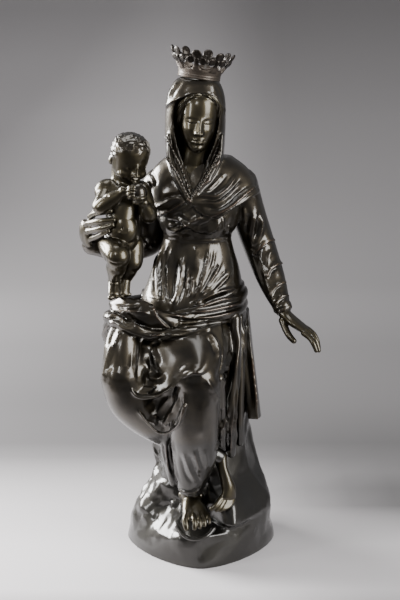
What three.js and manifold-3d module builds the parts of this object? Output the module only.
// Madonna and child, a patinated bronze group on its rock, with a separate crown.
// Units are millimetres. +Z is up, the figure faces -Y, and +X is the figure's left hand side.
// The origin is the middle of the footprint, on the surface that the rock stands on.

import * as THREE from 'three';
import { LoftGeometry } from 'three/addons/geometries/LoftGeometry.js';
import { mergeVertices } from 'three/addons/utils/BufferGeometryUtils.js';
import Module from 'manifold-3d';

const wasm = await Module();
wasm.setup();

// Driving dimensions: the rock's footprint, and the joints of the two figures.
const rock = { left: - 133, right: 136, front: - 101, back: 196, top: 232, squareness: 1.28 };

const woman = {
	chin: [ - 5, - 56, 713 ], skull: [ 1, - 22, 770 ], neck: [ - 7, - 10, 700 ],
	leftShoulder: [ 72, 8, 655 ], leftElbow: [ 103, 30, 542 ], leftWrist: [ 140, - 32, 447 ],
	rightShoulder: [ - 70, 10, 652 ], rightElbow: [ - 94, 46, 554 ], rightWrist: [ - 182, - 12, 553 ],
	leftHip: [ 30, 46, 425 ], leftKnee: [ - 4, - 124, 348 ], leftAnkle: [ - 17, - 36, 100 ],
	rightHip: [ - 52, 44, 425 ], rightKnee: [ - 128, - 106, 350 ], rightAnkle: [ 33, - 48, 186 ],
};

const boy = {
	skull: [ - 116, - 42, 707 ],
	rightShoulder: [ - 156, - 38, 645 ], rightElbow: [ - 165, - 72, 625 ], rightHand: [ - 122, - 97, 659 ],
	leftShoulder: [ - 96, - 38, 645 ], leftElbow: [ - 90, - 68, 614 ], leftHand: [ - 107, - 99, 638 ],
	rightHip: [ - 140, - 44, 558 ], rightKnee: [ - 137, - 94, 553 ], rightAnkle: [ - 139, - 68, 502 ],
	leftHip: [ - 112, - 42, 552 ], leftKnee: [ - 103, - 70, 538 ], leftAnkle: [ - 120, - 56, 500 ],
};

const orb = { centre: [ - 103, - 88, 653 ], radius: 16.5 };
const clasp = [ - 18, - 66, 636 ];
const crown = {
	foot: [ - 2, - 18, 833 ], lean: 9, footRadius: 34, rimRadius: 40, rimHeight: 21, wall: 2.4, leaves: 8,
	turnOfLeaf: 0.756,
};
const leaf = { lobe: 7.4, side: 6.2, spread: 8.4, length: 33, thick: 3, flare: 27 };

const front = new THREE.Vector3( 0, - 1, 0 );
const upward = new THREE.Vector3( 0, 0, 1 );

// The ring that rounds a limb's end lies this far round the end's quarter circle.
const endSlope = THREE.MathUtils.degToRad( 58 );

// A ripple with round crests and narrow valleys, as folded cloth has. One fold for each unit of s.
const pleat = ( s ) => 2 * Math.abs( Math.cos( Math.PI * s ) ) - 1;

// Climbs smoothly from 0 at a to 1 at b, whichever of the two is larger.
function smooth( a, b, x ) {

	const t = THREE.MathUtils.clamp( ( x - a ) / ( b - a ), 0, 1 );
	return t * t * ( 3 - 2 * t );

}

const hump = ( x, middle, width ) => Math.exp( - Math.pow( ( x - middle ) / width, 2 ) );

// Reads a table of rows as one smooth curve through them: t from 0 at the first row to 1 at the last.
function smoothRows( rows ) {

	const width = rows[ 0 ].length;
	const curves = [];
	for ( let k = 0; k < width; k += 3 ) {

		const points = rows.map( ( r ) => new THREE.Vector3( r[ k ], r[ k + 1 ] ?? 0, r[ k + 2 ] ?? 0 ) );
		curves.push( new THREE.CatmullRomCurve3( points, false, 'catmullrom', 0.5 ) );

	}

	return ( t ) => curves.flatMap( ( c ) => c.getPoint( t ).toArray() ).slice( 0, width );

}

// A solid from a closed geometry.
function solid( geometry ) {

	const bare = new THREE.BufferGeometry();
	bare.setAttribute( 'position', geometry.attributes.position );
	bare.setIndex( geometry.index );
	const merged = mergeVertices( bare, 1e-4 );
	return new wasm.Manifold( new wasm.Mesh( {
		numProp: 3,
		vertProperties: merged.attributes.position.array,
		triVerts: new Uint32Array( merged.index.array ),
	} ) );

}

// Skins a row of rings, which all wind the same way. They are turned round where they would face inwards.
function loft( sections ) {

	const total = ( points ) => points.reduce( ( sum, p ) => sum.add( p ), new THREE.Vector3() );
	const middle = ( points ) => total( points ).divideScalar( points.length );
	const ring = sections[ 0 ];
	const centre = middle( ring );
	const wound = new THREE.Vector3();
	ring.forEach( ( p, i ) => {

		const next = ring[ ( i + 1 ) % ring.length ].clone().sub( centre );
		wound.add( p.clone().sub( centre ).cross( next ) );

	} );
	if ( wound.dot( middle( sections[ 1 ] ).sub( centre ) ) < 0 ) sections.forEach( ( s ) => s.reverse() );
	return solid( new LoftGeometry( sections, { capStart: true, capEnd: true } ) );

}

// A limb: rows of [ x, y, z, half width, half depth ] along a bone, square to it, with round ends.
function limb( rows, { around = 10, steps = 8, fold = () => 0, facing = front, round = [ 1, 1 ] } = {} ) {

	const at = smoothRows( rows );
	const sections = [];
	const ring = ( t, shrink, push ) => {

		const [ x, y, z, wide, deep ] = at( t );
		const near = new THREE.Vector3( ...at( Math.max( 0, t - 0.01 ) ) );
		const far = new THREE.Vector3( ...at( Math.min( 1, t + 0.01 ) ) );
		const along = far.sub( near ).normalize();
		const side = new THREE.Vector3().crossVectors( along, facing ).normalize();
		const out = new THREE.Vector3().crossVectors( side, along );
		const points = [];
		for ( let i = 0; i < around; i ++ ) {

			const angle = 2 * Math.PI * i / around;
			const bump = shrink === 1 ? fold( angle, t ) : 0;
			points.push( new THREE.Vector3( x, y, z )
				.addScaledVector( along, push * Math.min( wide, deep ) )
				.addScaledVector( side, ( wide * shrink + bump ) * Math.cos( angle ) )
				.addScaledVector( out, ( deep * shrink + bump ) * Math.sin( angle ) ) );

		}

		sections.push( points );

	};

	const shrink = Math.cos( endSlope );
	const push = Math.sin( endSlope );
	if ( round[ 0 ] ) ring( 0, shrink, - round[ 0 ] * push );
	for ( let j = 0; j <= steps; j ++ ) ring( j / steps, 1, 0 );
	if ( round[ 1 ] ) ring( 1, shrink, round[ 1 ] * push );
	return loft( sections );

}

// A column: rows of [ z, left x, right x, front y, back y ], level rings, with folds and a hem that may drop.
function column( rows, { around = 24, steps = 8, fold = () => 0, drop = () => 0, squareness = 1 } = {} ) {

	const at = smoothRows( rows );
	const sections = [];
	for ( let j = 0; j <= steps; j ++ ) {

		const t = j / steps;
		const [ z, left, right, near, far ] = at( t );
		const points = [];
		for ( let i = 0; i < around; i ++ ) {

			const angle = 2 * Math.PI * i / around;
			const [ c, s ] = [ Math.cos( angle ), Math.sin( angle ) ]
				.map( ( k ) => Math.sign( k ) * Math.abs( k ) ** squareness );
			const x = ( left + right ) / 2 + ( right - left ) / 2 * c;
			const y = ( near + far ) / 2 + ( far - near ) / 2 * s;
			const p = new THREE.Vector3( x, y, z + drop( angle, t ) );
			const bump = fold( p, angle, t );
			points.push( p.add( new THREE.Vector3( bump * c, bump * s, 0 ) ) );

		}

		sections.push( points );

	}

	return loft( sections );

}

// A sheet: a net of points, row under row, made smooth both ways and thickened away from the viewer.
function sheet( net, { across = 12, down = 8, thick = [ 0, 12, 0 ], fold = () => 0 } = {} ) {

	const rows = net.map( smoothRows );
	const sections = [];
	const inward = new THREE.Vector3( ...thick );
	const outward = inward.clone().normalize().negate();
	for ( let j = 0; j <= down; j ++ ) {

		const v = j / down;
		const face = [];
		for ( let i = 0; i <= across; i ++ ) {

			const u = i / across;
			const line = smoothRows( rows.map( ( r ) => r( u ) ) );
			face.push( new THREE.Vector3( ...line( v ) ).addScaledVector( outward, fold( u, v ) ) );

		}

		sections.push( [ ...face, ...face.map( ( p ) => p.clone().add( inward ) ).reverse() ] );

	}

	return loft( sections );

}

// A ball or an egg, by its centre and half sizes.
function egg( centre, sizes, around = 16, high = 10 ) {

	const g = new THREE.SphereGeometry( 1, around, high );
	g.rotateX( Math.PI / 2 );
	g.scale( ...sizes );
	g.translate( ...centre );
	return solid( g );

}

const join = ( parts ) => parts.reduce( ( a, b ) => a.add( b ) );
const mix = ( a, b, t ) => a.map( ( x, k ) => x + ( b[ k ] - x ) * t );
const shift = ( a, dx, dy, dz ) => [ a[ 0 ] + dx, a[ 1 ] + dy, a[ 2 ] + dz ];

// Folds that fan out from one point, seen from the front: count folds for each half turn.
function fan( p, from, count, reach, depth ) {

	const dx = p.x - from[ 0 ];
	const dz = p.z - from[ 2 ];
	const far = Math.hypot( dx, dz );
	const fade = smooth( 6, 30, far ) * smooth( reach * 1.3, reach, far );
	return depth * pleat( Math.atan2( dx, dz ) / Math.PI * count ) * fade;

}

// The rock: near vertical walls, a ledge for the front foot, and a bulge under the back toes. The drapery
// hides its top.
function makeRock() {

	const rows = [
		[ 0, rock.left, rock.right, rock.front, rock.back ],
		[ 38, - 127, 134.5, rock.front, 194.5 ],
		[ 58, - 120, 132.5, - 99, 191.5 ],
		[ 64, - 117, 131, - 84, 190 ],
		[ 69, - 114, 130, - 44, 188 ],
		[ 108, - 95, 122, - 38, 180 ],
		[ 138, - 82, 109, - 38, 172 ],
		[ 180, - 88, 99, - 34, 160 ],
		[ 208, - 80, 95, - 28, 150 ],
		[ rock.top, - 60, 86, - 10, 130 ],
	];
	// Broad chisel-cut faces: slow waves round the rock that turn a little with height. Above the ledge the
	// rock comes forward under the back toes.
	const facets = ( p, angle, t ) => {

		const broad = - 6 * Math.abs( Math.sin( 3.5 * angle + 2.2 * t + 0.4 ) );
		const faces = ( broad + 4 * Math.sin( 5 * angle - 9 * t ) ) * smooth( 0, 0.15, t ) * smooth( 1, 0.8, t );
		const bulge = 32 * hump( angle, 5.2, 0.45 ) * smooth( 60, 70, p.z ) * smooth( 150, 90, p.z );
		return faces + bulge;

	};
	return column( rows, { around: 26, steps: 9, fold: facets, squareness: rock.squareness } );

}

// The skirts and the back of the mantle from the hips down to the rock, behind the legs.
function makeSkirts() {

	const folds = ( p, angle, t ) => 5 * pleat( 6 * angle / ( 2 * Math.PI ) + 0.3 ) * smooth( 0, 0.3, t );
	const hem = ( angle, t ) => 14 * Math.sin( 2 * angle + 0.6 ) * smooth( 0.3, 0, t );
	return column( [
		[ 188, - 66, 78, - 34, 150 ],
		[ 250, - 86, 82, - 46, 150 ],
		[ 320, - 98, 82, - 60, 146 ],
		[ 380, - 108, 80, - 70, 134 ],
		[ 430, - 108, 78, - 74, 112 ],
		[ 466, - 98, 74, - 66, 86 ],
	], { around: 22, steps: 3, fold: folds, drop: hem } );

}

function makeLegs() {

	const { leftHip, leftKnee, rightHip, rightKnee, rightAnkle } = woman;
	const leftThigh = limb( [
		[ ...leftHip, 54, 54 ], [ ...mix( leftHip, leftKnee, 0.5 ), 47, 48 ], [ ...leftKnee, 37, 38 ],
	], { around: 10, steps: 2, facing: upward, round: [ 0, 0 ] } );
	const rightThigh = limb( [
		[ ...rightHip, 56, 54 ], [ ...mix( rightHip, rightKnee, 0.5 ), 49, 46 ], [ ...rightKnee, 36, 35 ],
	], { around: 9, steps: 2, facing: upward, round: [ 0, 0 ] } );
	const knees = [ egg( leftKnee, [ 38, 38, 39 ], 10, 7 ), egg( rightKnee, [ 37, 36, 37 ], 9, 7 ) ];
	// The mantle hangs straight from the sash to the outside of the right knee.
	const overKnee = limb( [
		[ - 130, - 66, 440, 24, 20 ], [ - 132, - 92, 388, 29, 26 ], [ - 131, - 104, 346, 30, 30 ],
	], { around: 7, steps: 2 } );
	// The tunic lies smooth over the shin and breaks into a few folds at the hem.
	const hemFolds = ( angle, t ) => 3.5 * pleat( 3.5 * angle / Math.PI ) * smooth( 0.5, 0.85, t );
	const leftShin = limb( [
		[ ...shift( leftKnee, 0, 0, - 8 ), 37, 36 ],
		[ - 8, - 112, 296, 41, 36 ],
		[ - 10, - 96, 248, 41, 35 ],
		[ - 8, - 76, 204, 38, 34 ],
		[ - 13, - 62, 160, 30, 30 ],
		[ - 18, - 58, 128, 21, 25 ],
	], { around: 14, steps: 5, fold: hemFolds, round: [ 0, 0 ] } );
	const rightShin = limb( [
		[ ...shift( rightKnee, 0, 2, - 6 ), 38, 36 ],
		[ - 114, - 92, 303, 40, 34 ],
		[ - 84, - 72, 264, 36, 30 ],
		[ - 46, - 50, 230, 29, 26 ],
		[ ...rightAnkle, 14, 14 ],
	], { around: 8, steps: 4, round: [ 0, 1 ] } );
	const hemLeft = limb( [
		[ - 52, - 84, 262, 9, 14 ], [ - 58, - 62, 216, 11, 16 ], [ - 46, - 50, 140, 8, 10 ],
	], { around: 5, steps: 2 } );
	return join( [ leftThigh, rightThigh, ...knees, overKnee, leftShin, rightShin, hemLeft ] );

}

// A foot: the sole's middle line from heel to ball, and five toes beyond it.
function makeFoot( { heel, instep, ball, toeWay, across, up } ) {

	const sole = [ [ ...heel, 12, 13 ], [ ...instep, 15, 16 ], [ ...ball, 23, 9 ] ];
	const body = limb( sole, { around: 7, steps: 2, facing: up } );
	const toes = [ 0, 1, 2, 3, 4 ].map( ( k ) => {

		const big = k === 0 ? 1.5 : 1 - 0.06 * k;
		const root = ball.map( ( v, n ) => v + across[ n ] * ( k - 2 ) * 9.2 );
		const tip = root.map( ( v, n ) => v + toeWay[ n ] * 20 * ( 1 - 0.1 * k ) );
		const rows = [ [ ...root, 4.6 * big, 4.4 * big ], [ ...tip, 3.8 * big, 3.6 * big ] ];
		return limb( rows, { around: 4, steps: 1, facing: up, round: [ 0, 0.9 ] } );

	} );
	return join( [ body, ...toes ] );

}

function makeFeet() {

	const frontFoot = makeFoot( {
		heel: [ - 10, 4, 80 ], instep: [ - 14, - 36, 91 ], ball: [ - 11, - 62, 77 ],
		toeWay: [ - 0.26, - 0.94, - 0.22 ], across: [ 0.96, 0.28, 0 ], up: upward,
	} );
	const ankleRows = [ [ - 18, - 38, 134, 15, 14 ], [ ...woman.leftAnkle, 14, 16 ] ];
	const ankle = limb( ankleRows, { around: 7, steps: 1, round: [ 0, 0 ] } );
	const backFoot = makeFoot( {
		heel: [ 35, - 58, 180 ], instep: [ 45, - 60, 145 ], ball: [ 44, - 70, 108 ],
		toeWay: [ - 0.62, - 0.6, - 0.5 ], across: [ 0.62, 0.45, - 0.3 ], up: new THREE.Vector3( 0.5, - 0.8, 0.2 ),
	} );
	return join( [ frontFoot, ankle, backFoot ] );

}

// The mantle over the lap. Its front hangs between the knees to a thick turned fold like a U, and under
// that fold the cloth's other side shows as a hollow pocket with a thin hem.
function makeLap() {

	const swag = sheet( [
		[
			[ - 134, - 70, 430 ], [ - 110, - 98, 424 ], [ - 88, - 80, 422 ],
			[ - 40, - 92, 426 ], [ 6, - 92, 428 ], [ 36, - 74, 430 ],
		],
		[
			[ - 138, - 112, 378 ], [ - 113, - 124, 382 ], [ - 92, - 94, 380 ],
			[ - 44, - 120, 386 ], [ 6, - 142, 390 ], [ 40, - 106, 384 ],
		],
		[
			[ - 132, - 126, 348 ], [ - 114, - 132, 348 ], [ - 94, - 108, 346 ],
			[ - 52, - 130, 356 ], [ - 4, - 162, 372 ], [ 36, - 124, 360 ],
		],
		[
			[ - 118, - 126, 332 ], [ - 110, - 132, 324 ], [ - 90, - 130, 320 ],
			[ - 54, - 138, 333 ], [ - 14, - 160, 366 ], [ 26, - 130, 340 ],
		],
	], { across: 8, down: 3, thick: [ 0, 34, 0 ] } );
	const turned = limb( [
		[ - 111, - 100, 424, 4, 5 ], [ - 113, - 126, 380, 5, 6 ], [ - 114, - 134, 340, 6, 7 ],
		[ - 102, - 138, 321, 7, 8 ], [ - 76, - 138, 321, 7, 8 ], [ - 54, - 142, 333, 6, 8 ],
		[ - 33, - 150, 352, 5, 7 ], [ - 10, - 160, 372, 3, 5 ],
	], { around: 4, steps: 7 } );
	const pocket = sheet( [
		[
			[ - 118, - 106, 334 ], [ - 100, - 118, 322 ], [ - 70, - 118, 324 ],
			[ - 40, - 130, 344 ], [ - 16, - 148, 362 ],
		],
		[
			[ - 112, - 112, 308 ], [ - 96, - 104, 296 ], [ - 70, - 104, 296 ],
			[ - 42, - 124, 310 ], [ - 22, - 146, 334 ],
		],
		[
			[ - 104, - 112, 296 ], [ - 90, - 110, 274 ], [ - 68, - 110, 256 ],
			[ - 42, - 128, 270 ], [ - 26, - 146, 308 ],
		],
	], { across: 6, down: 3, thick: [ 0, 20, 0 ] } );
	const hem = limb( [
		[ - 118, - 124, 322, 3, 4 ], [ - 100, - 120, 289, 3, 4 ], [ - 83, - 116, 265, 3, 4 ],
		[ - 67, - 114, 252, 3, 4 ],
		[ - 49, - 124, 258, 3, 4 ], [ - 34, - 142, 279, 3, 5 ], [ - 24, - 153, 312, 3, 5 ],
	], { around: 4, steps: 6 } );
	return join( [ swag, turned, pocket, hem ] );

}

// The mantle at the figure's left side: folds that drop from the knee and hip, a deep gap, and an outer
// panel.
function makeFall() {

	const options = { around: 4, steps: 3, round: [ 0, 1 ] };
	const knee = limb( [
		[ 30, - 118, 350, 10, 12 ], [ 34, - 100, 306, 9, 12 ], [ 36, - 76, 258, 9, 12 ], [ 38, - 60, 214, 8, 10 ],
	], options );
	const inner = limb( [
		[ 60, - 44, 432, 10, 14 ], [ 60, - 58, 350, 10, 14 ], [ 52, - 60, 268, 11, 14 ], [ 54, - 38, 190, 9, 11 ],
	], options );
	const middle = limb( [
		[ 68, - 16, 430, 8, 16 ], [ 70, - 24, 350, 8, 16 ], [ 68, - 24, 270, 9, 16 ], [ 70, - 14, 202, 8, 12 ],
	], options );
	const panel = sheet( [
		[ [ 82, - 2, 432 ], [ 84, 26, 436 ], [ 62, 74, 434 ] ],
		[ [ 91, - 6, 352 ], [ 94, 30, 350 ], [ 74, 92, 348 ] ],
		[ [ 102, - 8, 240 ], [ 108, 32, 236 ], [ 80, 108, 226 ] ],
	], { across: 4, down: 2, thick: [ - 18, 4, 0 ] } );
	return join( [ knee, inner, middle, panel ] );

}

// The mantle's upper edge, twisted into a sash: a pleated band from the left hip, a broad roll under the
// boy's feet, and a lower roll whose end hangs down outside the right thigh.
function makeSash() {

	const options = { around: 6, steps: 5, facing: upward };
	const pleats = ( angle ) => 1.8 * pleat( 3.5 * angle / Math.PI );
	const band = limb( [
		[ 66, 50, 455, 10, 27 ], [ 72, 4, 456, 10, 27 ], [ 52, - 46, 450, 10, 23 ],
		[ 8, - 74, 446, 10, 18 ], [ - 46, - 88, 440, 9, 13 ],
	], { around: 12, steps: 4, facing: upward, fold: pleats } );
	const broad = limb( [
		[ - 40, - 92, 441, 9, 12 ], [ - 72, - 98, 444, 11, 17 ], [ - 100, - 96, 454, 13, 19 ],
		[ - 124, - 80, 459, 14, 15 ], [ - 142, - 50, 457, 12, 12 ], [ - 124, - 6, 448, 14, 14 ],
		[ - 84, 34, 444, 14, 14 ],
	], options );
	const lower = limb( [
		[ 14, - 92, 426, 7, 6 ], [ - 34, - 102, 422, 9, 8 ], [ - 74, - 108, 419, 10, 9 ],
		[ - 112, - 106, 429, 11, 10 ], [ - 142, - 84, 440, 11, 10 ], [ - 152, - 46, 436, 12, 12 ],
		[ - 116, 12, 420, 12, 14 ],
	], options );
	const tail = limb( [
		[ - 146, - 74, 436, 12, 9 ], [ - 151, - 52, 414, 14, 13 ], [ - 149, - 32, 380, 13, 15 ],
	], { ...options, steps: 2 } );
	return join( [ band, broad, lower, tail ] );

}

// The tunic from the high belt to the hips, with folds that fan up from the middle of the lap.
function makeTunic() {

	const backY = 10;
	const folds = ( p, angle, t ) => {

		const depth = p.y < backY ? fan( p, [ - 44, 0, 440 ], 11, 150, 4 ) : 3 * pleat( 3 * angle / Math.PI );
		return depth * smooth( 1, 0.85, t );

	};
	return column( [
		[ 432, - 106, 78, - 76, 92 ],
		[ 460, - 100, 78, - 70, 82 ],
		[ 486, - 90, 72, - 63, 72 ],
		[ 515, - 80, 66, - 56, 60 ],
		[ 542, - 69, 58, - 50, 52 ],
		[ 568, - 61, 52, - 46, 47 ],
	], { around: 28, steps: 3, fold: folds } );

}

// The bodice above its belt, with gathers that cross over the chest.
function makeBodice() {

	const beltRows = [ [ 562, - 63, 55, - 50, 49 ], [ 571, - 64, 56, - 52, 50 ] ];
	const belt = column( beltRows, { around: 14, steps: 1 } );
	const chest = column( [
		[ 569, - 61, 53, - 48, 47 ],
		[ 584, - 68, 62, - 58, 50 ],
		[ 606, - 72, 68, - 62, 52 ],
		[ 634, - 72, 68, - 58, 54 ],
		[ 662, - 62, 62, - 44, 48 ],
		[ 690, - 34, 30, - 30, 30 ],
	], { around: 16, steps: 3 } );
	const gather = ( rows ) => limb( rows, { around: 4, steps: 3, round: [ 0, 0 ] } );
	const rising = gather( [
		[ - 54, - 40, 588, 4, 6 ], [ - 16, - 62, 580, 5, 6 ], [ 22, - 62, 594, 5, 6 ], [ 46, - 46, 612, 4, 6 ],
	] );
	const falling = gather( [
		[ 48, - 40, 576, 4, 6 ], [ 16, - 60, 580, 5, 6 ], [ - 24, - 62, 594, 5, 6 ], [ - 52, - 46, 604, 4, 6 ],
	] );
	return join( [ belt, chest, rising, falling ] );

}

// The height of the cape's hem at each angle round the body: nought is the figure's left side, 270 the front.
const capeHem = [
	[ 0, 646 ], [ 40, 630 ], [ 90, 600 ], [ 140, 622 ], [ 180, 642 ], [ 196, 636 ], [ 212, 612 ], [ 226, 607 ],
	[ 244, 618 ], [ 262, 634 ], [ 274, 616 ], [ 290, 611 ], [ 306, 626 ], [ 330, 642 ], [ 360, 646 ],
];

function hemHeight( angle ) {

	const a = THREE.MathUtils.radToDeg( angle ) % 360;
	const k = capeHem.findIndex( ( row, n ) => n > 0 && row[ 0 ] >= a );
	const [ low, high ] = [ capeHem[ k - 1 ], capeHem[ k ] ];
	return THREE.MathUtils.lerp( low[ 1 ], high[ 1 ], THREE.MathUtils.smoothstep( a, low[ 0 ], high[ 0 ] ) );

}

// The short cape: its hem dips in a lobe at each side of the clasp, and folds run from the clasp to the left
// shoulder.
function makeCape() {

	const low = 620;
	const drop = ( angle, t ) => ( hemHeight( angle ) - low ) * smooth( 0.7, 0, t );
	const body = column( [
		[ low - 12, - 60, 58, - 54, 46 ],
		[ low, - 84, 98, - 67, 64 ],
		[ 640, - 86, 99, - 64, 62 ],
		[ 664, - 84, 92, - 54, 56 ],
		[ 684, - 76, 78, - 44, 48 ],
		[ 702, - 56, 54, - 34, 42 ],
	], { around: 24, steps: 4, drop } );
	const folds = [ 0, 1, 2, 3 ].map( ( k ) => limb( [
		[ clasp[ 0 ] + 6, - 62, 634, 3, 4 ],
		[ 30 + 2 * k, - 62 + 6 * k, 626 + 12 * k, 4, 6 ],
		[ 88 - 8 * k, - 28 + 4 * k, 640 + 14 * k, 4, 6 ],
	], { around: 4, steps: 2 } ) );
	return join( [ body, ...folds ] );

}

// The hood: the veil over the head, opened for the face.
function makeHood() {

	const veil = column( [
		[ 672, - 44, 30, - 28, 26 ],
		[ 694, - 55, 39, - 38, 40 ],
		[ 712, - 57, 40, - 40, 46 ],
		[ 730, - 57, 41, - 44, 46 ],
		[ 760, - 57, 42, - 51, 48 ],
		[ 788, - 56, 41, - 57, 46 ],
		[ 806, - 52, 37, - 57, 42 ],
		[ 820, - 43, 30, - 50, 34 ],
		[ 830, - 28, 18, - 38, 20 ],
		[ 834, - 12, 6, - 24, 4 ],
	], { around: 14, steps: 7 } );
	const opening = limb( [
		[ - 14, - 40, 650, 3, 40 ],
		[ - 10, - 40, 676, 18, 44 ],
		[ - 8, - 42, 706, 34, 42 ],
		[ - 7, - 44, 740, 42, 42 ],
		[ - 7, - 46, 776, 44, 40 ],
		[ - 5, - 50, 794, 34, 32 ],
		[ - 2, - 52, 806, 14, 22 ],
	], { around: 10, steps: 6, round: [ 0, 0 ] } );
	return veil.subtract( opening );

}

function makeHead() {

	const { skull, chin, neck } = woman;
	const nose = ( angle, t ) => 6 * hump( angle, Math.PI / 2, 0.2 ) * hump( t, 0.4, 0.1 );
	const face = limb( [
		[ chin[ 0 ], chin[ 1 ] + 10, chin[ 2 ] + 1, 10, 8 ],
		[ chin[ 0 ], chin[ 1 ] + 18, chin[ 2 ] + 8, 20, 18 ],
		[ - 4, - 32, 738, 30, 29 ],
		[ skull[ 0 ] - 3, - 26, 762, 34, 35 ],
		[ skull[ 0 ] - 1, - 24, 786, 33, 34 ],
		[ skull[ 0 ], - 22, 806, 24, 28 ],
		[ skull[ 0 ], - 20, 816, 12, 16 ],
	], { around: 12, steps: 6, round: [ 0, 0.3 ], fold: nose } );
	const throat = limb( [
		[ neck[ 0 ], neck[ 1 ] + 2, 676, 30, 26 ], [ ...neck, 22, 21 ], [ - 4, - 12, 748, 24, 30 ],
	], { around: 8, steps: 2, round: [ 0, 0 ] } );
	return join( [ face, throat ] );

}

// The veil's edges that run down from the hood to the clasp.
function makeLapels() {

	const options = { around: 5, steps: 4 };
	const right = limb( [
		[ - 51, - 14, 736, 6, 24 ], [ - 49, - 20, 706, 7, 26 ],
		[ - 38, - 38, 672, 7, 20 ], [ - 20, - 60, 640, 6, 8 ],
	], options );
	const left = limb( [
		[ 35, - 14, 736, 6, 24 ], [ 31, - 22, 706, 7, 26 ],
		[ 13, - 42, 672, 8, 20 ], [ - 14, - 60, 640, 6, 8 ],
	], options );
	return join( [ right, left, egg( clasp, [ 5, 5, 5 ], 6, 4 ) ] );

}

function makeArms() {

	const { leftShoulder, leftElbow, leftWrist, rightShoulder, rightElbow, rightWrist } = woman;
	const spiral = ( angle, t ) => {

		const fade = smooth( 0, 0.2, t ) * smooth( 1, 0.85, t );
		return 2.4 * pleat( 4.5 * t - angle / Math.PI ) * fade;

	};
	const left = limb( [
		[ ...leftShoulder, 26, 32 ], [ 83, 20, 602, 29, 32 ], [ ...leftElbow, 28, 31 ],
		[ 123, 4, 489, 24, 24 ], [ ...leftWrist, 15, 15 ],
	], { around: 9, steps: 6, fold: spiral, round: [ 0, 0 ] } );
	const cuff = limb( [
		[ ...shift( leftWrist, - 1, 3, 5 ), 16.5, 16.5 ], [ ...shift( leftWrist, 1, - 2, - 2 ), 16.5, 16.5 ],
	], { around: 9, steps: 1, round: [ 0, 0 ] } );
	const right = limb( [
		[ ...rightShoulder, 28, 32 ], [ - 82, 34, 604, 32, 34 ], [ ...rightElbow, 32, 34 ],
		[ - 138, 22, 546, 26, 27 ], [ ...rightWrist, 18, 20 ],
	], { around: 8, steps: 5, fold: spiral, facing: new THREE.Vector3( 0, - 1, 0.4 ), round: [ 0, 0.4 ] } );
	return join( [ left, cuff, right ] );

}

// A hand: a palm, then fingers as three points from knuckle to tip and a thickness.
function makeHand( palm, facing, fingers ) {

	const made = fingers.map( ( [ root, middle, tip, thick ] ) => limb( [
		[ ...root, thick * 1.15, thick * 1.1 ],
		[ ...middle, thick, thick ],
		[ ...tip, thick * 0.8, thick * 0.75 ],
	], { around: 4, steps: 2, facing, round: [ 0, 0.9 ] } ) );
	return join( [ limb( palm, { around: 7, steps: 2, facing } ), ...made ] );

}

function makeHands() {

	const over = new THREE.Vector3( 0.4, - 0.3, 0.85 );
	const left = makeHand( [
		[ 138, - 32, 447, 11, 11 ], [ 144, - 44, 436, 12, 9 ], [ 158, - 58, 421, 18, 8 ], [ 168, - 66, 412, 19, 6 ],
	], over, [
		[ [ 150, - 52, 424 ], [ 152, - 62, 408 ], [ 156, - 70, 395 ], 4.6 ],
		[ [ 164, - 76, 412 ], [ 178, - 84, 398 ], [ 190, - 88, 386 ], 3.9 ],
		[ [ 170, - 70, 411 ], [ 186, - 79, 399 ], [ 200, - 82, 383 ], 4.0 ],
		[ [ 174, - 62, 411 ], [ 189, - 70, 400 ], [ 202, - 73, 386 ], 3.8 ],
		[ [ 175, - 54, 411 ], [ 188, - 60, 402 ], [ 198, - 63, 391 ], 3.4 ],
	] );
	// The right hand wraps the boy's waist: four fingers forward, the thumb behind his back.
	const outside = new THREE.Vector3( - 0.8, - 0.5, 0.1 );
	const fingers = [ 0, 1, 2, 3 ].map( ( k ) => [
		[ - 190 + 2 * k, - 38 - 4 * k, 605 - 9 * k ],
		[ - 169, - 66, 608 - 10.5 * k ],
		[ - 139 - 3.2 * ( k - 1.4 ) ** 2, - 77, 610 - 10.5 * k ],
		4.9 - 0.2 * k,
	] );
	const right = makeHand( [
		[ - 180, - 8, 556, 14, 14 ], [ - 192, - 24, 578, 18, 12 ], [ - 186, - 44, 592, 21, 8 ],
	], outside, [ ...fingers, [ [ - 188, - 20, 588 ], [ - 180, - 22, 608 ], [ - 168, - 30, 620 ], 5.2 ] ] );
	return join( [ left, right ] );

}

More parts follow.
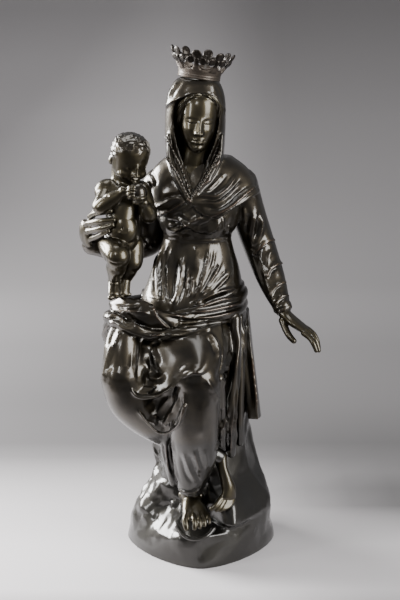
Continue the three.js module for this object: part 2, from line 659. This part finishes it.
function makeBoy() {

	const trunk = column( [
		[ 540, - 148, - 100, - 64, - 16 ],
		[ 560, - 159, - 92, - 76, - 8 ],
		[ 582, - 157, - 93, - 80, - 10 ],
		[ 606, - 157, - 94, - 76, - 14 ],
		[ 632, - 162, - 90, - 70, - 14 ],
		[ 650, - 160, - 92, - 60, - 18 ],
		[ 660, - 144, - 108, - 54, - 22 ],
	], { around: 11, steps: 5 } );
	const neckRows = [ [ - 127, - 36, 652, 17, 16 ], [ - 122, - 42, 684, 17, 17 ] ];
	const neck = limb( neckRows, { around: 7, steps: 1, round: [ 0, 0 ] } );
	const head = egg( boy.skull, [ 34, 38, 39 ], 11, 7 );
	const face = limb( [
		[ - 103, - 72, 684, 13, 9 ], [ - 108, - 62, 697, 22, 17 ], [ - 113, - 54, 714, 26, 22 ],
	], { around: 7, steps: 2 } );
	const ears = [ [ - 144, - 52, 702 ], [ - 88, - 30, 704 ] ].map( ( c ) => egg( c, [ 4, 6, 8 ], 4, 3 ) );
	const arm = ( shoulder, elbow, hand ) => limb( [
		[ ...shoulder, 14, 15 ], [ ...elbow, 13, 13 ], [ ...mix( elbow, hand, 0.6 ), 11, 11 ], [ ...hand, 8, 9 ],
	], { around: 6, steps: 4 } );
	const leg = ( hip, knee, ankle, toe ) => limb( [
		[ ...hip, 24, 24 ], [ ...mix( hip, knee, 0.6 ), 22, 22 ], [ ...knee, 17, 18 ],
		[ ...mix( knee, ankle, 0.5 ), 14.5, 15.5 ], [ ...ankle, 9.5, 10 ], [ ...toe, 9, 6.5 ],
	], { around: 7, steps: 6, facing: new THREE.Vector3( 0.3, - 1, 0.2 ) } );
	return join( [
		trunk, neck, head, face, ...ears,
		arm( boy.rightShoulder, boy.rightElbow, boy.rightHand ),
		arm( boy.leftShoulder, boy.leftElbow, boy.leftHand ),
		leg( boy.rightHip, boy.rightKnee, boy.rightAnkle, [ - 142, - 82, 484 ] ),
		leg( boy.leftHip, boy.leftKnee, boy.leftAnkle, [ - 124, - 74, 482 ] ),
		egg( orb.centre, [ orb.radius, orb.radius, orb.radius ], 8, 6 ),
	] );

}

// One leaf of the crown: three round lobes on a short neck, flat, and pushed through its thickness.
function makeLeaf() {

	const { lobe, side, spread, length, thick } = leaf;
	const outline = new THREE.Shape();
	outline.moveTo( 3.2, 0 );
	outline.absarc( spread, length * 0.42, side, - 0.6 * Math.PI, 0.6 * Math.PI, false );
	outline.absarc( 0, length - lobe, lobe, - 0.12 * Math.PI, 1.12 * Math.PI, false );
	outline.absarc( - spread, length * 0.42, side, 0.4 * Math.PI, 1.6 * Math.PI, false );
	outline.lineTo( - 3.2, 0 );
	outline.closePath();
	const push = { depth: thick, bevelEnabled: false, curveSegments: 3 };
	const g = new THREE.ExtrudeGeometry( outline, push );
	g.translate( 0, 0, - thick / 2 );
	g.rotateX( Math.PI / 2 );
	g.rotateX( THREE.MathUtils.degToRad( leaf.flare ) );
	return g;

}

// The crown: a flared band with a bead at its foot, a rim scalloped between the leaves, and eight leaves.
function makeCrown() {

	const around = crown.leaves * 3;
	const band = ( inner ) => {

		const flare = crown.rimRadius - crown.footRadius;
		const levels = inner
			? [ [ - 2, 0, 0 ], [ crown.rimHeight + 4, flare + 1, 0 ] ]
			: [ [ 0, 1, 0 ], [ 4, 1, 0 ], [ 6, 0, 0 ], [ crown.rimHeight, flare, 5 ] ];
		return loft( levels.map( ( [ high, out, scallop ] ) => Array.from( { length: around }, ( _, i ) => {

			const a = 2 * Math.PI * i / around;
			const dip = scallop * Math.abs( Math.sin( crown.leaves * a / 2 - Math.PI * crown.turnOfLeaf ) );
			const r = crown.footRadius + out - ( inner ? crown.wall : 0 );
			return new THREE.Vector3( r * Math.cos( a ), r * Math.sin( a ), high - dip );

		} ) ) );

	};

	const leaves = Array.from( { length: crown.leaves }, ( _, k ) => {

		const g = makeLeaf();
		g.translate( 0, - ( crown.rimRadius - crown.wall / 2 ), crown.rimHeight - 4 );
		g.rotateZ( Math.PI / 2 + 2 * Math.PI * ( k + crown.turnOfLeaf ) / crown.leaves );
		return solid( g );

	} );
	return join( [ band( false ).subtract( band( true ) ), ...leaves ] );

}

// A mesh from a finished solid.
function meshOf( name, made, material ) {

	const { vertProperties, triVerts, numProp } = made.getMesh();
	const geometry = new THREE.BufferGeometry();
	const positions = new Float32Array( vertProperties.length / numProp * 3 );
	for ( let i = 0; i < positions.length / 3; i ++ ) {

		positions.set( vertProperties.subarray( i * numProp, i * numProp + 3 ), i * 3 );

	}

	geometry.setAttribute( 'position', new THREE.BufferAttribute( positions, 3 ) );
	geometry.setIndex( new THREE.BufferAttribute( new Uint32Array( triVerts ), 1 ) );
	geometry.computeVertexNormals();
	const mesh = new THREE.Mesh( geometry, material );
	mesh.name = name;
	return mesh;

}

const darkBronze = new THREE.MeshStandardMaterial( { color: 0x2b2419, roughness: 0.32, metalness: 1 } );
const crownBronze = new THREE.MeshStandardMaterial( { color: 0x4a4038, roughness: 0.5, metalness: 1 } );

const statue = join( [
	makeRock(), makeSkirts(), makeLegs(), makeFeet(), makeLap(), makeFall(), makeSash(), makeTunic(),
	makeBodice(), makeCape(), makeHood(), makeHead(), makeLapels(), makeArms(), makeHands(), makeBoy(),
] );

const group = new THREE.Group();
group.add( meshOf( 'madonna_and_child', statue, darkBronze ) );
const crownMesh = meshOf( 'crown', makeCrown(), crownBronze );
crownMesh.position.set( ...crown.foot );
crownMesh.rotation.set( 0, THREE.MathUtils.degToRad( crown.lean ), 0 );
group.add( crownMesh );

export default group;
